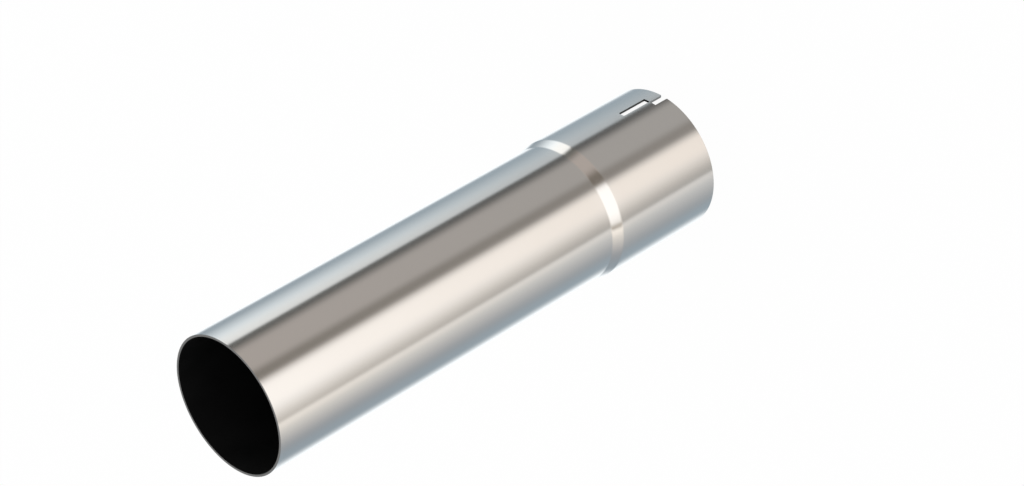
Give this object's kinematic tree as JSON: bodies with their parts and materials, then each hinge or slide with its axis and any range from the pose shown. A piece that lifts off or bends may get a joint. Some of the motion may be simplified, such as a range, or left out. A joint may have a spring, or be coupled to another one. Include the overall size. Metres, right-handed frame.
{
  "type": "exhaust adapter pipe",
  "caption": "Straight thin-walled steel exhaust tube with a plain spigot end and an expanded, slotted socket end behind a short cone.",
  "frame": {"origin": "centre of the socket end, in the plane that the pipe stands on", "axes": "+Z along the pipe's axis from the socket end to the plain end; +X through the web between the two slots"},
  "size_m": [0.1058, 0.1056, 0.4064],
  "materials": {
    "satin_stainless": "smooth satin"
  },
  "bodies": {
    "root": {"adapter_pipe": "satin_stainless"}
  },
  "joints": []
}
